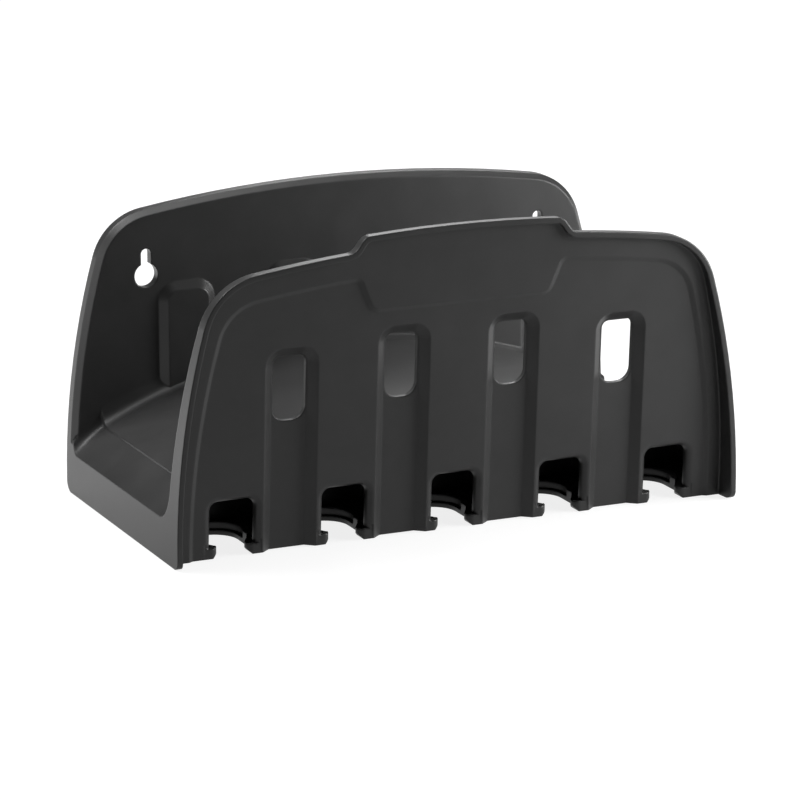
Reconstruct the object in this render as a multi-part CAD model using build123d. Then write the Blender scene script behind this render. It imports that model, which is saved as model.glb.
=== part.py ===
from build123d import *
from math import atan2, cos, radians, sin, sqrt, tan
import os

# Wall hose hanger, one injection moulded piece. A tall back panel screws to the wall,
# an arched saddle carries the coiled hose, and a lower front panel keeps it in.
# Five snap notches under the front panel hold fittings.
# Millimetres. X is right, Y points to the wall, Z is up.
# The origin is the centre of the footprint, on the sole.

# Overall size
WIDTH = 270.0
DEPTH = 138.0

# Outlines of both panels: bowed sides, arched crown, round shoulders
SIDE_RADIUS = 368.0
WIDEST_HEIGHT = 6.0
FRONT_HEIGHT = 132.9
FRONT_CROWN_RADIUS = 665.0
FRONT_SHOULDER_RADIUS = 29.5
BACK_HEIGHT = 135.6
BACK_CROWN_RADIUS = 625.0
BACK_SHOULDER_RADIUS = 28.5

# Raised middle of the front panel
TAB_RISE = 6.6
TAB_HALF_WIDTH = 49.5
TAB_SLOPE = 35.0
TAB_FILLET = 6.0

# Front panel: a leaning sheet inside an upright rim
FRONT_WALL = 2.4
RIM_WALL = 2.5
RIM_DRAFT = 5.0
RIM_DEPTH_AT_SOLE = 10.2
RIM_DEPTH_AT_TOP = 2.2
FIELD_RECESS = 1.2
FIELD_DRAFT = 60.0
FIELD_SIDE_INSET = 9.2
FIELD_TOP_INSET = 11.2
FIELD_CORNER_RADIUS = 22.0
PLAQUE_HALF_WIDTH_TOP = 53.0
PLAQUE_HALF_WIDTH_BOTTOM = 41.5
PLAQUE_DROP = 27.9
PLAQUE_CORNER_RADIUS = 4.0

# Row of notches, with a channel between each two and a window at its top
NOTCH_COUNT = 5
END_MARGIN = 30.0
CHANNEL_SIDE_GAP = 0.45
CHANNEL_DEPTH = 3.4
CHANNEL_DRAFT = 50.0
CHANNEL_CORNER_RADIUS = 8.0
CHANNEL_ABOVE_WINDOW = 4.6
WINDOW_SIDE_GAP = 0.55
WINDOW_HEIGHT = 29.2
WINDOW_DROP = 40.5
WINDOW_TOP_ROUNDING = 0.21
WINDOW_BOTTOM_ROUNDING = 0.415
WINDOW_ARC_RADIUS = 560.0

# Openings in the front panel, and the snap notches in the shelf behind them
OPENING_WIDTH = 20.6
OPENING_TOP = 24.9
OPENING_CORNER_RADIUS = 3.8
OPENING_EDGE_RADIUS = 3.2
OPENING_DEPTH = 3.8
SHELF_THICKNESS = 4.5
SHELF_MARGIN = 7.0
NOTCH_RADIUS = 11.4
NOTCH_STEP_WIDTH = 1.5
NOTCH_STEP_HEIGHT = 2.2
NOTCH_CENTRE_SETBACK = 22.9
THROAT_WIDTH = 13.6
THROAT_LENGTH = 4.2
THROAT_FLARE_LENGTH = 7.8
JAW_NOSE_RADIUS = 3.0
JAW_SOLE_CHAMFER = 2.3
COLLAR_WIDTH = 3.4
COLLAR_HEIGHT = 1.1
LIP_WALL = 2.0
LIP_HEIGHT = 9.0

# Back panel: a shallow tray, open to the wall
BACK_TRAY_DEPTH = 8.0
BACK_WALL = 2.8
BACK_FLANGE_WALL = 2.6
BEVEL_IN_FACE = 3.1
BEVEL_IN_DEPTH = 2.3
BOSS_SIDE_GAP = 1.3
BOSS_HEIGHT = 3.2
BOSS_DRAFT = 50.0
BOSS_DROP = 36.0
BOSS_CORNER_RADIUS = 9.0
KEYHOLE_SPACING = 196.0
KEYHOLE_HEAD_RADIUS = 5.6
KEYHOLE_SLOT_WIDTH = 4.8
KEYHOLE_DROP = 37.4
KEYHOLE_TRAVEL = 10.0
KEYHOLE_PAD_WALL = 4.8
KEYHOLE_PAD_MARGIN = 4.0

# Saddle: a wide arch that rolls down over each end
SADDLE_CROWN = 58.6
SADDLE_RADIUS = 280.0
SADDLE_WALL = 2.8
END_ROLL_WIDTH = 14.5
END_ROLL_STEP = 1.0
END_ROLL_RADIUS = 55.0
END_ROLL_ANGLE = 29.0
BACK_FILLET = 8.0
FRONT_FILLET = 10.0
END_FILLET = 5.0
END_WALL = 2.8
RIB_WALL = 2.0
RIB_CLEARANCE_FROM_SOLE = 3.0

# Lower corners of the end faces, seen from the side
SOLE_BACK_RADIUS = 5.0
SOLE_FRONT_RADIUS = 4.0

CHANNEL_COUNT = NOTCH_COUNT - 1
PITCH = (WIDTH - 2 * END_MARGIN) / CHANNEL_COUNT
TALL = FRONT_HEIGHT + TAB_RISE + 40.0
FAR = 2.0 * WIDTH
BELOW = -20.0

wall_y = DEPTH / 2
rim_y = -DEPTH / 2
back_face_y = wall_y - BACK_TRAY_DEPTH
sheet_foot_y = rim_y + RIM_DEPTH_AT_SOLE
field_foot_y = sheet_foot_y + FIELD_RECESS
notch_y = field_foot_y + NOTCH_CENTRE_SETBACK
collar_radius = NOTCH_RADIUS + NOTCH_STEP_WIDTH + COLLAR_WIDTH
shelf_back_y = notch_y + NOTCH_RADIUS + SHELF_MARGIN
shelf_top = SHELF_THICKNESS + COLLAR_HEIGHT

# Depths behind the raised border of the front sheet
field_back = FIELD_RECESS + FRONT_WALL
channel_floor = FIELD_RECESS + CHANNEL_DEPTH
channel_back = channel_floor + FRONT_WALL

# Widths that share the pitch
opening_reach = OPENING_WIDTH / 2 + OPENING_EDGE_RADIUS
channel_width = PITCH - 2 * (opening_reach + CHANNEL_SIDE_GAP)
channel_floor_width = channel_width - 2 * CHANNEL_DEPTH * tan(radians(CHANNEL_DRAFT))
window_width = channel_floor_width - 2 * WINDOW_SIDE_GAP
boss_width = channel_width + 2 * BOSS_SIDE_GAP

# Heights that hang from the crowns
window_top = FRONT_HEIGHT - WINDOW_DROP
plaque_bottom = FRONT_HEIGHT - PLAQUE_DROP
boss_top = BACK_HEIGHT - BOSS_DROP
keyhole_z = BACK_HEIGHT - KEYHOLE_DROP

# The end rolls start a small step below the main arch
roll_x = WIDTH / 2 - END_ROLL_WIDTH
roll_start_z = SADDLE_CROWN - SADDLE_RADIUS - END_ROLL_STEP
roll_start_z += sqrt(SADDLE_RADIUS**2 - roll_x**2)
roll_centre_x = roll_x - END_ROLL_RADIUS * sin(radians(END_ROLL_ANGLE))
roll_centre_z = roll_start_z - END_ROLL_RADIUS * cos(radians(END_ROLL_ANGLE))

roll_end_z = roll_centre_z + sqrt(END_ROLL_RADIUS**2 - (WIDTH / 2 - roll_centre_x) ** 2)
skirt_top = roll_end_z + END_FILLET

# The front sheet leans forward at its top. The plane is its raised border, seen from
# the wall: its X runs left, its Y runs up the sheet and its Z into the wall.
lean = atan2(RIM_DEPTH_AT_SOLE - RIM_DEPTH_AT_TOP, FRONT_HEIGHT)
sheet_plane = Plane(
    origin=(0, sheet_foot_y, 0),
    x_dir=(-1, 0, 0),
    z_dir=(0, cos(lean), sin(lean)),
)


def row_positions(count):
    """X of each copy in a centred row at the common pitch."""
    return [(i - (count - 1) / 2) * PITCH for i in range(count)]


def row_drop(x):
    """How far a window at x sits below the middle of its row, which arches like the crown."""
    return x * x / (2 * WINDOW_ARC_RADIUS)


def arched_outline(height, crown, inset, top_inset, shoulder, foot):
    """Outline with bowed sides, an arched crown and round shoulders."""
    reach = SIDE_RADIUS - WIDTH / 2
    shape = Pos(0, height - crown) * Circle(crown - top_inset)
    shape &= Pos(-reach, WIDEST_HEIGHT) * Circle(SIDE_RADIUS - inset)
    shape &= Pos(reach, WIDEST_HEIGHT) * Circle(SIDE_RADIUS - inset)
    shape &= Pos(0, foot + TALL / 2) * Rectangle(FAR, TALL)
    return fillet(shape.vertices().sort_by(Axis.Y)[-2:], shoulder)


def front_outline(inset=0.0, top_inset=None, shoulder=None, foot=0.0):
    """Front panel's outline without its raised middle, moved inwards by inset."""
    top_inset = inset if top_inset is None else top_inset
    shoulder = FRONT_SHOULDER_RADIUS - inset if shoulder is None else shoulder
    return arched_outline(FRONT_HEIGHT, FRONT_CROWN_RADIUS, inset, top_inset, shoulder, foot)


def back_outline(inset=0.0, foot=0.0):
    """Back panel's outline, moved inwards by inset."""
    return arched_outline(BACK_HEIGHT, BACK_CROWN_RADIUS, inset, inset,
                          BACK_SHOULDER_RADIUS - inset, foot)


def tabbed_outline(inset=0.0, foot=0.0):
    """Front panel's outline with its raised middle."""
    slope = radians(TAB_SLOPE)
    crown_z = FRONT_HEIGHT + TAB_RISE - FRONT_CROWN_RADIUS
    middle_z = FRONT_HEIGHT + TAB_RISE / 2
    middle_z -= TAB_HALF_WIDTH**2 / (2 * FRONT_CROWN_RADIUS)
    step = 2.5 * TAB_RISE
    spread = tan(slope) * step
    half = TAB_HALF_WIDTH - inset / cos(slope)
    trapezoid = Polygon(
        (half + spread, middle_z - step),
        (half - spread, middle_z + step),
        (spread - half, middle_z + step),
        (-half - spread, middle_z - step),
        align=None,
    )
    tab = trapezoid & (Pos(0, crown_z) * Circle(FRONT_CROWN_RADIUS - inset))
    whole = front_outline(inset, foot=foot) + tab
    whole = fillet(tab_corners(whole, half, step)[-2:], TAB_FILLET - inset)
    return fillet(tab_corners(whole, half, step)[:2], TAB_FILLET + inset)


def tab_corners(shape, half, step):
    """Corners of an outline beside the raised middle, the lower ones first."""
    near = [v for v in shape.vertices() if abs(abs(v.X) - half) < step and v.Y > 0]
    return sorted(near, key=lambda v: v.Y)


def along_y(shape, front, back):
    """Prism of an XZ outline between two Y values."""
    return Pos(0, back, 0) * extrude(Plane.XZ * shape, back - front)


def into_wall(y):
    """Upright plane at y that looks at the wall."""
    return Plane(origin=(0, y, 0), x_dir=(-1, 0, 0), z_dir=(0, 1, 0))


def behind_border(setback, depth=FAR):
    """Slab parallel to the front sheet, from setback behind its border and depth thick."""
    return sheet_plane * (Pos(0, 0, setback + depth / 2) * Box(FAR, FAR, depth))


def above_sole():
    """Everything above the sole."""
    return Pos(0, 0, TALL / 2) * Box(FAR, FAR, TALL)


def on_sheet(shape, start, depth, draft=0.0):
    """Prism of an outline on the front sheet, tapering towards the wall."""
    return extrude(sheet_plane.offset(start) * shape, depth, taper=draft)


def upright_slot(width, top, corner, bottom=BELOW):
    """Upright bar with two round top corners."""
    bar = Pos(0, (top + bottom) / 2) * Rectangle(width, top - bottom)
    return fillet(bar.vertices().sort_by(Axis.Y)[-2:], corner)


def channel(x, grow=0.0):
    """Outline of the channel at x."""
    top = window_top - row_drop(x) + CHANNEL_ABOVE_WINDOW
    return Pos(-x, 0) * upright_slot(
        channel_width + 2 * grow, top + grow, CHANNEL_CORNER_RADIUS + grow)


def window(x):
    """Outline of the window in the channel at x."""
    middle = window_top - row_drop(x) - WINDOW_HEIGHT / 2
    shape = Pos(-x, middle) * Rectangle(window_width, WINDOW_HEIGHT)
    shape = fillet(shape.vertices().sort_by(Axis.Y)[-2:], WINDOW_TOP_ROUNDING * window_width)
    return fillet(shape.vertices().sort_by(Axis.Y)[:2], WINDOW_BOTTOM_ROUNDING * window_width)


def field_outline():
    """Recessed field of the front sheet, with the plaque left standing at its top."""
    field = front_outline(FIELD_SIDE_INSET, FIELD_TOP_INSET, FIELD_CORNER_RADIUS, foot=BELOW)
    field -= Polygon(
        (PLAQUE_HALF_WIDTH_BOTTOM, plaque_bottom),
        (PLAQUE_HALF_WIDTH_TOP, FRONT_HEIGHT),
        (-PLAQUE_HALF_WIDTH_TOP, FRONT_HEIGHT),
        (-PLAQUE_HALF_WIDTH_BOTTOM, plaque_bottom),
        align=None,
    )
    corners = [v for v in field.vertices()
               if abs(v.X) < PLAQUE_HALF_WIDTH_TOP + 1 and v.Y > plaque_bottom - 1]
    return fillet(corners, PLAQUE_CORNER_RADIUS)


def front_panel():
    """Leaning sheet inside an upright rim, with its field sunk into it."""
    panel = along_y(tabbed_outline(), rim_y, back_face_y) - behind_border(FRONT_WALL)
    mouth = tabbed_outline(RIM_WALL, foot=BELOW)
    pocket = extrude(into_wall(rim_y) * mouth, RIM_DEPTH_AT_SOLE + 2, taper=RIM_DRAFT)
    return panel - (pocket - behind_border(0))


def sink_field(body):
    """Press the field of the front sheet back, with the wall kept behind it."""
    body += on_sheet(field_outline(), FRONT_WALL, FIELD_RECESS, FIELD_DRAFT) & above_sole()
    return body - on_sheet(field_outline(), 0, FIELD_RECESS, FIELD_DRAFT)


def sink_channels(body):
    """Press the channels back and cut a window in each."""
    draft = radians(CHANNEL_DRAFT)
    grow = FRONT_WALL * (1 / cos(draft) - tan(draft))
    for x in row_positions(CHANNEL_COUNT):
        bulge = on_sheet(channel(x, grow), field_back, CHANNEL_DEPTH, CHANNEL_DRAFT)
        body += bulge & above_sole()
    for x in row_positions(CHANNEL_COUNT):
        body -= on_sheet(channel(x), FIELD_RECESS, CHANNEL_DEPTH, CHANNEL_DRAFT)
        body -= on_sheet(window(x), 0, channel_back + 1)
    return body


def cut_openings(body):
    """Cut the openings over the shelf, each with a jamb behind it and a round edge."""
    grow = OPENING_EDGE_RADIUS
    hood = upright_slot(OPENING_WIDTH + 2 * grow, OPENING_TOP + grow,
                        OPENING_CORNER_RADIUS + grow)
    mouth = upright_slot(OPENING_WIDTH, OPENING_TOP, OPENING_CORNER_RADIUS, SHELF_THICKNESS)
    for x in row_positions(NOTCH_COUNT):
        jamb = on_sheet(Pos(-x, 0) * hood, field_back, OPENING_DEPTH - FRONT_WALL)
        body += jamb & above_sole()
    for x in row_positions(NOTCH_COUNT):
        body -= on_sheet(Pos(-x, 0) * mouth, 0, FIELD_RECESS + OPENING_DEPTH + 1)
    field = sheet_plane.offset(FIELD_RECESS)
    reach = OPENING_WIDTH / 2 + 0.1
    edges = [e for e in body.edges()
             if abs(field.to_local_coords(e.center()).Z) < 0.01
             and SHELF_THICKNESS + 0.5 < e.center().Z < OPENING_TOP + 0.5
             and any(abs(e.center().X - x) < reach for x in row_positions(NOTCH_COUNT))]
    return fillet(edges, OPENING_EDGE_RADIUS)


def main_arch(drop=0.0):
    """Disc whose top is the saddle's main arch, lowered by drop."""
    return Pos(0, SADDLE_CROWN - SADDLE_RADIUS) * Circle(SADDLE_RADIUS - drop)


def end_roll(side, drop=0.0):
    """Disc whose top is the roll at one end of the saddle, lowered by drop."""
    return Pos(side * roll_centre_x, roll_centre_z) * Circle(END_ROLL_RADIUS - drop)


def floor_edges(space):
    """Edges of a hose space's floor, the front one first."""
    floor = space.faces().filter_by(GeomType.CYLINDER).sort_by(SortBy.AREA)[-1]
    return floor.edges().sort_by(Axis.Y)


def space_over(disc, low_x, high_x, back_fillet):
    """Hose space over a disc between two X values, with a fillet at its back."""
    region = Pos((low_x + high_x) / 2, TALL / 2) * Rectangle(high_x - low_x, TALL) - disc
    space = along_y(region, rim_y, back_face_y) & behind_border(FRONT_WALL)
    return fillet(floor_edges(space)[-1], back_fillet)


def hose_space():
    """Whole hose space: over the main arch, and over the roll at each end."""
    space = space_over(main_arch(), -roll_x, roll_x, BACK_FILLET)
    over = END_ROLL_WIDTH / 3
    for side in (-1, 1):
        low, high = sorted((side * roll_x, side * (WIDTH / 2 + over)))
        end = space_over(end_roll(side), low, high, END_FILLET)
        space += fillet(floor_edges(end)[0], FRONT_FILLET)
    return space


def under_hollow():
    """Space under the saddle, between the end walls and the two panels."""
    middle = Rectangle(2 * roll_x, 4 * TALL)
    region = main_arch(SADDLE_WALL) & middle
    region += end_roll(1, SADDLE_WALL) - middle
    region += end_roll(-1, SADDLE_WALL) - middle
    region &= front_outline(END_WALL, foot=BELOW)
    return along_y(region, rim_y, back_face_y) & behind_border(FRONT_WALL)


def ribs():
    """Cross ribs under the saddle, one behind each channel."""
    low = RIB_CLEARANCE_FROM_SOLE
    plate = Pos(0, (sheet_foot_y + back_face_y) / 2, (SADDLE_CROWN + low) / 2)
    plate *= Box(RIB_WALL, back_face_y - sheet_foot_y, SADDLE_CROWN - low)
    return [Pos(x, 0, 0) * plate for x in row_positions(CHANNEL_COUNT)]


def back_panel():
    """Plate with a bevel round its face."""
    panel = along_y(back_outline(), back_face_y, wall_y)
    face = panel.faces().sort_by(Axis.Y)[0]
    rim = [e for e in face.edges() if e.center().Z > 1]
    return chamfer(rim, BEVEL_IN_DEPTH, BEVEL_IN_FACE, reference=face)


def tray_pocket():
    """Hollow on the wall side of the back panel, thicker behind the keyholes."""
    hollow = back_outline(BACK_FLANGE_WALL, foot=SOLE_BACK_RADIUS + BACK_FLANGE_WALL)
    pocket = along_y(hollow, back_face_y + BACK_WALL, wall_y)
    pad_width = 2 * (KEYHOLE_HEAD_RADIUS + KEYHOLE_PAD_MARGIN)
    pad = Rectangle(pad_width, pad_width + KEYHOLE_TRAVEL)
    pad = fillet(pad.vertices(), KEYHOLE_PAD_MARGIN)
    for x in (-KEYHOLE_SPACING / 2, KEYHOLE_SPACING / 2):
        place = Pos(x, keyhole_z + KEYHOLE_TRAVEL / 2)
        pocket -= along_y(place * pad, back_face_y, back_face_y + KEYHOLE_PAD_WALL)
    return pocket


def keyhole(x):
    """Keyhole outline: a round entry with a slot above it."""
    head = Pos(x, keyhole_z) * Circle(KEYHOLE_HEAD_RADIUS)
    slot = Pos(x, keyhole_z + KEYHOLE_TRAVEL / 2) * SlotOverall(
        KEYHOLE_TRAVEL + KEYHOLE_SLOT_WIDTH, KEYHOLE_SLOT_WIDTH, rotation=90)
    return head + slot


def bosses():
    """Upright bosses on the back panel's face, one behind each channel."""
    face = Plane(origin=(0, back_face_y, 0), x_dir=(1, 0, 0), z_dir=(0, -1, 0))
    shapes = []
    for x in row_positions(CHANNEL_COUNT):
        top = boss_top - x * x / (2 * BACK_CROWN_RADIUS)
        shape = Pos(x, 0) * upright_slot(boss_width, top, BOSS_CORNER_RADIUS)
        shapes.append(extrude(face * shape, BOSS_HEIGHT, taper=BOSS_DRAFT))
    return shapes


def shelf():
    """Shelf behind the front sheet, with a collar at each notch and a lip at its back."""
    slab = Pos(0, (rim_y + shelf_back_y) / 2, SHELF_THICKNESS / 2)
    slab *= Box(WIDTH - 2 * END_WALL, shelf_back_y - rim_y, SHELF_THICKNESS)
    collar = Cylinder(collar_radius, shelf_top, align=(Align.CENTER, Align.CENTER, Align.MIN))
    for x in row_positions(NOTCH_COUNT):
        slab += Pos(x, notch_y, 0) * collar
    lip = Pos(0, shelf_back_y - LIP_WALL / 2, (SHELF_THICKNESS + LIP_HEIGHT) / 2)
    slab += lip * Box(WIDTH - 2 * END_WALL, LIP_WALL, SHELF_THICKNESS + LIP_HEIGHT)
    return slab & behind_border(FIELD_RECESS)


def notch(x):
    """Snap notch: a stepped round seat, a flared throat and jaws chamfered at the sole."""
    tip = THROAT_WIDTH / 2
    flare_y = field_foot_y + THROAT_LENGTH
    seat_y = flare_y + THROAT_FLARE_LENGTH
    throat = Polygon(
        (tip, field_foot_y - 9),
        (tip, flare_y),
        (NOTCH_RADIUS, seat_y),
        (NOTCH_RADIUS, notch_y),
        (-NOTCH_RADIUS, notch_y),
        (-NOTCH_RADIUS, seat_y),
        (-tip, flare_y),
        (-tip, field_foot_y - 9),
        align=None,
    )
    lead = Pos(0, field_foot_y - 10) * Rectangle(OPENING_WIDTH + 6, 20)
    plan = Pos(0, notch_y) * Circle(NOTCH_RADIUS) + throat + lead
    corners = [v for v in plan.vertices()
               if abs(abs(v.X) - tip) < 0.1 and abs(v.Y - field_foot_y) < 1]
    plan = fillet(corners, JAW_NOSE_RADIUS)
    corners = [v for v in plan.vertices()
               if abs(v.Y - flare_y) < 0.1 or abs(v.Y - seat_y) < 0.1]
    plan = fillet(corners, JAW_NOSE_RADIUS)
    cut = Pos(0, 0, -1) * extrude(plan, shelf_top + 2)
    cut += Pos(0, notch_y, NOTCH_STEP_HEIGHT) * Cylinder(
        NOTCH_RADIUS + NOTCH_STEP_WIDTH, shelf_top,
        align=(Align.CENTER, Align.CENTER, Align.MIN))
    foot = tip + JAW_SOLE_CHAMFER
    wedge = Polygon(
        (-foot, 0),
        (foot, 0),
        (0, foot),
        align=None,
    )
    cut += along_y(wedge, rim_y, notch_y)
    return Pos(x, 0, 0) * cut


def side_limits():
    """Side view limits: a plain block with both lower corners rounded."""
    block = Pos(0, 0, TALL / 2) * Box(FAR, DEPTH, TALL)
    low = block.edges().filter_by(Axis.X).group_by(Axis.Z)[0].sort_by(Axis.Y)
    block = fillet(low[0], SOLE_FRONT_RADIUS)
    low = block.edges().filter_by(Axis.X).group_by(Axis.Z)[0].sort_by(Axis.Y)
    return fillet(low[-1], SOLE_BACK_RADIUS)


hose = hose_space()
under = under_hollow()

middle = along_y(front_outline(), sheet_foot_y, back_face_y) & behind_border(0)
middle &= Pos(0, 0, (SADDLE_CROWN + 15) / 2) * Box(FAR, FAR, SADDLE_CROWN + 15)
skirt = along_y(back_outline(), back_face_y, wall_y)
skirt &= Pos(0, 0, skirt_top / 2) * Box(FAR, FAR, skirt_top)
body = front_panel() + (back_panel() + skirt) + (middle - hose)
body -= under
body += [rib & under for rib in ribs()]
body += [boss & hose for boss in bosses()]
body = sink_field(body)
body += shelf() & along_y(front_outline(END_WALL), rim_y, wall_y)
body = cut_openings(sink_channels(body))
for x in row_positions(NOTCH_COUNT):
    body -= notch(x)
body -= tray_pocket()
for x in (-KEYHOLE_SPACING / 2, KEYHOLE_SPACING / 2):
    body -= along_y(keyhole(x), back_face_y - 1, wall_y + 1)
body &= side_limits()

body = body.solids()[0]
body.label = "hanger_body"
os.makedirs("parts", exist_ok=True)
export_step(body, "parts/hanger_body.step")
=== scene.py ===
import math

import bpy
from mathutils import Euler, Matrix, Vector

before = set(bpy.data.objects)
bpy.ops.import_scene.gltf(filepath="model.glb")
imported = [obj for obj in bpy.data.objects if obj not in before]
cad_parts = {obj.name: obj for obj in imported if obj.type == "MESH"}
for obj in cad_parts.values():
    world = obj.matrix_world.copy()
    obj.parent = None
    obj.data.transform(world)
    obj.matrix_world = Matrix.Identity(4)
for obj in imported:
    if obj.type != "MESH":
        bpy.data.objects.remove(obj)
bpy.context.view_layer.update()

bl_info = {
    "name": "Wall Hose Hanger",
    "version": (1, 0, 0),
    "blender": (4, 5, 0),
    "location": "View3D > Sidebar > Hose Hanger",
    "description": "Finish and studio for a moulded hose hanger",
    "category": "Object",
}

BODY_NODE = "hanger_body"


class HangerPlastic(bpy.types.PropertyGroup):
    """Finish of the moulding"""
    base_colour: bpy.props.FloatVectorProperty(
        name="Base colour", description="Middle tone of the dyed plastic",
        subtype="COLOR", size=3, min=0, max=1, default=(0.045, 0.045, 0.045))
    mottle: bpy.props.FloatProperty(
        name="Mottle", description="How far the tone drifts over the moulding",
        subtype="FACTOR", min=0, max=1, default=0.10)
    mottle_size: bpy.props.FloatProperty(
        name="Mottle size", description="Width of one patch of the drift",
        subtype="DISTANCE", unit="LENGTH", min=0.001, max=0.2, default=0.022)
    grain_size: bpy.props.FloatProperty(
        name="Grain size", description="Width of one pit of the mould's fine texture",
        subtype="DISTANCE", unit="LENGTH", min=0.0001, max=0.01, default=0.0005)
    grain_depth: bpy.props.FloatProperty(
        name="Grain depth", description="Height of the fine texture",
        subtype="DISTANCE", unit="LENGTH", min=0, max=0.001, default=0.00004)
    roughness: bpy.props.FloatProperty(
        name="Roughness", description="Middle roughness of the satin surface",
        subtype="FACTOR", min=0, max=1, default=0.37)
    roughness_drift: bpy.props.FloatProperty(
        name="Roughness drift", description="How far the roughness drifts over the moulding",
        subtype="FACTOR", min=0, max=1, default=0.05)
    edge_radius: bpy.props.FloatProperty(
        name="Edge radius", description="Soft break that every moulded edge shows",
        subtype="DISTANCE", unit="LENGTH", min=0, max=0.003, default=0.0011)


class HangerStudio(bpy.types.PropertyGroup):
    """Floor, lights and camera"""
    floor_colour: bpy.props.FloatVectorProperty(
        name="Floor colour", description="Colour of the studio floor",
        subtype="COLOR", size=3, min=0, max=1, default=(0.25, 0.25, 0.25))
    floor_size: bpy.props.FloatProperty(
        name="Floor size", description="Length of the floor's side",
        subtype="DISTANCE", unit="LENGTH", min=1, max=100, default=40)
    floor_glow: bpy.props.FloatProperty(
        name="Floor glow", description="Light that the floor adds where the camera sees it",
        min=0, max=1, default=0.84)
    mirrored_front: bpy.props.FloatProperty(
        name="Mirrored floor in front", description="Brightness of the near floor in reflections",
        min=0, max=1, default=0.27)
    mirrored_back: bpy.props.FloatProperty(
        name="Mirrored floor behind", description="Brightness of the far floor in reflections",
        min=0, max=1, default=1.0)
    mirrored_world: bpy.props.FloatProperty(
        name="Mirrored world", description="Brightness of the backdrop in reflections",
        min=0, max=1, default=0.02)
    lens: bpy.props.FloatProperty(
        name="Lens", description="Focal length in millimetres on a 36 mm sensor",
        min=20, max=400, default=186.6)
    camera_place: bpy.props.FloatVectorProperty(
        name="Camera place", description="Where the photograph was taken from",
        subtype="TRANSLATION", unit="LENGTH", size=3, default=(-0.7428, -1.6449, 0.5245))
    camera_yaw: bpy.props.FloatProperty(
        name="Camera yaw", description="Turn of the view to the right",
        subtype="ANGLE", default=math.radians(24.30))
    camera_pitch: bpy.props.FloatProperty(
        name="Camera pitch", description="Tilt of the view below the horizon",
        subtype="ANGLE", default=math.radians(14.90))


# Each lamp: name, bearing and height in degrees, distance and width in metres, power in watts.
# A bearing of 0 is in front of the hanger, and one of 90 is to its right.
LAMPS = (
    ("lamp_left", -100.0, 15.0, 1.9, 0.9, 7.5),
    ("lamp_left_near", -120.0, 55.0, 0.8, 0.4, 4.4),
    ("lamp_right_back", 150.0, 40.0, 0.8, 0.4, 2.8),
    ("lamp_right_near", 64.0, 18.0, 0.45, 0.25, 2.15),
    ("lamp_top", 0.0, 90.0, 1.9, 0.9, 7.8),
)
LAMP_AIM = Vector((0.0, 0.0, 0.06))

# Spans in metres over which the floor's levels change: the glow with the distance from the
# hanger, the brightness in reflections from in front of the hanger to behind it
GLOW_SPAN = (0.25, 1.0)
MIRROR_SPAN = (-0.2, 0.2)

# Gap in metres that keeps the floor clear of the sole, and tone of the floor's darker patches
FLOOR_DROP = 0.0002
FLOOR_PATCH_TONE = 0.98

# Width of the camera's sensor in millimetres
SENSOR_WIDTH = 36


def principled(material):
    """The material's main shader."""
    return next(n for n in material.node_tree.nodes if n.type == "BSDF_PRINCIPLED")


def hanger_plastic(look):
    """Dark dyed plastic, satin, with the mould's fine texture."""
    material = bpy.data.materials.new("hanger_plastic")
    material.use_nodes = True
    nodes, links = material.node_tree.nodes, material.node_tree.links
    shader = principled(material)
    shader.inputs["IOR"].default_value = 1.5
    place = nodes.new("ShaderNodeTexCoord")

    # Tone and roughness drift together
    drift = nodes.new("ShaderNodeTexNoise")
    drift.inputs["Scale"].default_value = 1 / look.mottle_size
    drift.inputs["Detail"].default_value = 5
    drift.inputs["Roughness"].default_value = 0.62
    tones = nodes.new("ShaderNodeValToRGB")
    dark, light = 1 - look.mottle, 1 + look.mottle
    tones.color_ramp.elements[0].position = 0.3
    tones.color_ramp.elements[0].color = [c * dark for c in look.base_colour] + [1]
    tones.color_ramp.elements[1].position = 0.7
    tones.color_ramp.elements[1].color = [c * light for c in look.base_colour] + [1]
    links.new(place.outputs["Object"], drift.inputs["Vector"])
    links.new(drift.outputs["Fac"], tones.inputs["Fac"])
    links.new(tones.outputs["Color"], shader.inputs["Base Color"])

    sheen = nodes.new("ShaderNodeMapRange")
    sheen.inputs["To Min"].default_value = look.roughness - look.roughness_drift
    sheen.inputs["To Max"].default_value = look.roughness + look.roughness_drift
    links.new(drift.outputs["Fac"], sheen.inputs["Value"])
    links.new(sheen.outputs["Result"], shader.inputs["Roughness"])

    # Fine texture over softened edges
    grain = nodes.new("ShaderNodeTexNoise")
    grain.inputs["Scale"].default_value = 1 / look.grain_size
    grain.inputs["Detail"].default_value = 2
    relief = nodes.new("ShaderNodeBump")
    relief.inputs["Strength"].default_value = 0.5
    relief.inputs["Distance"].default_value = look.grain_depth
    edge = nodes.new("ShaderNodeBevel")
    edge.samples = 6
    edge.inputs["Radius"].default_value = look.edge_radius
    links.new(place.outputs["Object"], grain.inputs["Vector"])
    links.new(grain.outputs["Fac"], relief.inputs["Height"])
    links.new(edge.outputs["Normal"], relief.inputs["Normal"])
    links.new(relief.outputs["Normal"], shader.inputs["Normal"])
    return material


def backdrop_strength(nodes, links):
    """Strength of a backdrop, with sockets for the levels where it is seen and mirrored."""
    rays = nodes.new("ShaderNodeLightPath")
    seen = nodes.new("ShaderNodeMath")
    seen.operation = "MAXIMUM"
    links.new(rays.outputs["Is Camera Ray"], seen.inputs[0])
    links.new(rays.outputs["Is Transmission Ray"], seen.inputs[1])
    bright = nodes.new("ShaderNodeMath")
    bright.operation = "MULTIPLY"
    links.new(seen.outputs["Value"], bright.inputs[0])
    total = nodes.new("ShaderNodeMath")
    total.operation = "MULTIPLY_ADD"
    links.new(rays.outputs["Is Glossy Ray"], total.inputs[0])
    links.new(bright.outputs["Value"], total.inputs[2])
    return bright.inputs[1], total.inputs[1], total.outputs["Value"]


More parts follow.
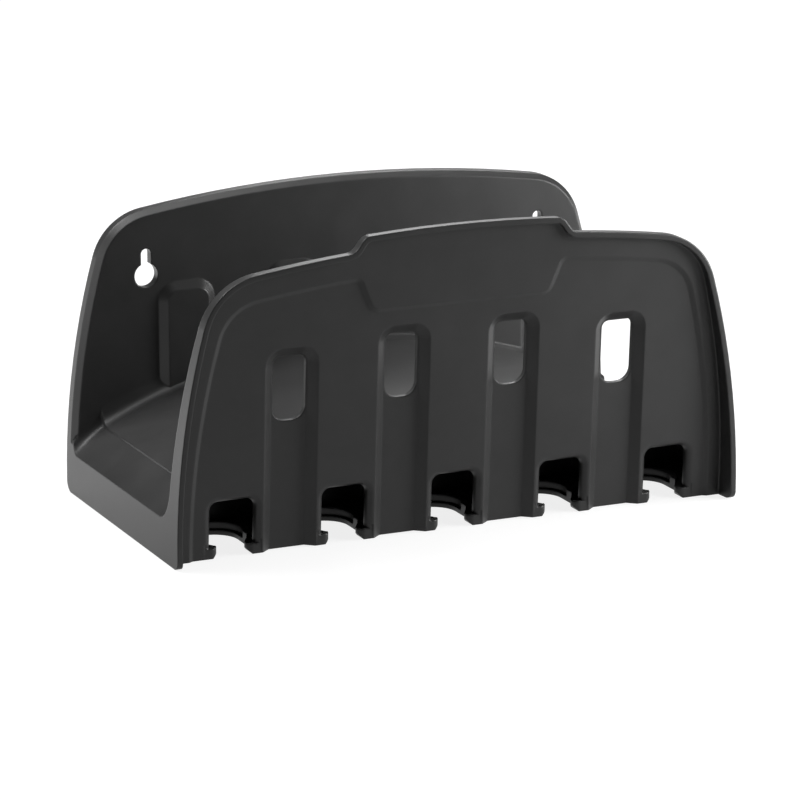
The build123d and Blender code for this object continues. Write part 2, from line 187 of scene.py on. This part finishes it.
def soft_step(nodes, links, source, span, levels):
    """Value that goes softly from one level to another over a span of the source."""
    step = nodes.new("ShaderNodeMapRange")
    step.interpolation_type = "SMOOTHSTEP"
    step.inputs["From Min"].default_value, step.inputs["From Max"].default_value = span
    step.inputs["To Min"].default_value, step.inputs["To Max"].default_value = levels
    links.new(source, step.inputs["Value"])
    return step.outputs["Result"]


def studio_floor(look):
    """Matt floor that reads white to the camera and keeps the object's shadow."""
    material = bpy.data.materials.new("studio_floor")
    material.use_nodes = True
    nodes, links = material.node_tree.nodes, material.node_tree.links
    shader = principled(material)
    shader.inputs["Roughness"].default_value = 0.9
    shader.inputs["Specular IOR Level"].default_value = 0.1
    shader.inputs["Emission Color"].default_value = (1, 1, 1, 1)
    place = nodes.new("ShaderNodeTexCoord")
    drift = nodes.new("ShaderNodeTexNoise")
    drift.inputs["Scale"].default_value = 3
    tones = nodes.new("ShaderNodeValToRGB")
    tones.color_ramp.elements[0].color = [c * FLOOR_PATCH_TONE for c in look.floor_colour] + [1]
    tones.color_ramp.elements[1].color = list(look.floor_colour) + [1]
    links.new(place.outputs["Object"], drift.inputs["Vector"])
    links.new(drift.outputs["Fac"], tones.inputs["Fac"])
    links.new(tones.outputs["Color"], shader.inputs["Base Color"])

    # The far floor gets no lamp light, so its glow makes up for that
    reach = nodes.new("ShaderNodeVectorMath")
    reach.operation = "LENGTH"
    links.new(place.outputs["Object"], reach.inputs[0])
    axes = nodes.new("ShaderNodeSeparateXYZ")
    links.new(place.outputs["Object"], axes.inputs["Vector"])
    seen, mirrored, strength = backdrop_strength(nodes, links)
    links.new(soft_step(nodes, links, reach.outputs["Value"], GLOW_SPAN,
                        (look.floor_glow, 1.0)), seen)
    links.new(soft_step(nodes, links, axes.outputs["Y"], MIRROR_SPAN,
                        (look.mirrored_front, look.mirrored_back)), mirrored)
    links.new(strength, shader.inputs["Emission Strength"])
    return material


class FinishBody(bpy.types.Operator):
    """Give the moulding its satin plastic"""
    bl_idname = "hose_hanger.finish_body"
    bl_label = "Finish body"

    def execute(self, context):
        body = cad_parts.get(BODY_NODE)
        if body is None:
            raise RuntimeError("the frame has no node " + BODY_NODE)
        material = hanger_plastic(context.scene.hanger_plastic)
        body.data.materials.clear()
        body.data.materials.append(material)
        for polygon in body.data.polygons:
            polygon.material_index = 0
        return {"FINISHED"}


class SetStudio(bpy.types.Operator):
    """Lay the floor, hang the lamps and place the camera"""
    bl_idname = "hose_hanger.set_studio"
    bl_label = "Set studio"

    def execute(self, context):
        look = context.scene.hanger_studio
        self.floor(look)
        for lamp in LAMPS:
            self.lamp(context, *lamp)
        self.world(context, look)
        self.camera(context, look)
        context.scene.view_settings.view_transform = "Standard"
        return {"FINISHED"}

    def floor(self, look):
        bpy.ops.mesh.primitive_plane_add(size=look.floor_size, location=(0, 0, -FLOOR_DROP))
        plane = bpy.context.active_object
        plane.name = "studio_floor"
        plane.data.materials.append(studio_floor(look))

    def lamp(self, context, name, bearing, height, distance, width, power):
        data = bpy.data.lights.new(name, "AREA")
        data.shape = "SQUARE"
        data.size = width
        data.energy = power
        turn = Euler((math.radians(90 - height), 0, math.radians(bearing)))
        lamp = bpy.data.objects.new(name, data)
        lamp.location = LAMP_AIM + turn.to_matrix() @ Vector((0, 0, distance))
        lamp.rotation_euler = turn
        lamp.visible_camera = False
        context.scene.collection.objects.link(lamp)

    def world(self, context, look):
        world = bpy.data.worlds.new("studio_world")
        context.scene.world = world
        world.use_nodes = True
        nodes, links = world.node_tree.nodes, world.node_tree.links
        background = nodes["Background"]
        background.inputs["Color"].default_value = (1, 1, 1, 1)
        seen, mirrored, strength = backdrop_strength(nodes, links)
        seen.default_value = 1.0
        mirrored.default_value = look.mirrored_world
        links.new(strength, background.inputs["Strength"])

    def camera(self, context, look):
        data = bpy.data.cameras.new("photo_camera")
        data.sensor_width = SENSOR_WIDTH
        data.lens = look.lens
        camera = bpy.data.objects.new("photo_camera", data)
        camera.location = look.camera_place
        camera.rotation_euler = (math.pi / 2 - look.camera_pitch, 0, -look.camera_yaw)
        context.scene.collection.objects.link(camera)
        context.scene.camera = camera


class HangerPanel(bpy.types.Panel):
    """Hose hanger"""
    bl_idname = "VIEW3D_PT_hose_hanger"
    bl_label = "Hose Hanger"
    bl_space_type = "VIEW_3D"
    bl_region_type = "UI"
    bl_category = "Hose Hanger"

    def draw(self, context):
        layout = self.layout
        for group in (context.scene.hanger_plastic, context.scene.hanger_studio):
            box = layout.box()
            for name in group.__annotations__:
                box.prop(group, name)
        layout.operator(FinishBody.bl_idname)
        layout.operator(SetStudio.bl_idname)


CLASSES = (HangerPlastic, HangerStudio, FinishBody, SetStudio, HangerPanel)


def register():
    for item in CLASSES:
        bpy.utils.register_class(item)
    bpy.types.Scene.hanger_plastic = bpy.props.PointerProperty(type=HangerPlastic)
    bpy.types.Scene.hanger_studio = bpy.props.PointerProperty(type=HangerStudio)


def unregister():
    del bpy.types.Scene.hanger_studio
    del bpy.types.Scene.hanger_plastic
    for item in reversed(CLASSES):
        bpy.utils.unregister_class(item)


def main():
    register()
    bpy.ops.hose_hanger.finish_body()
    bpy.ops.hose_hanger.set_studio()


if __name__ == "__main__":
    main()
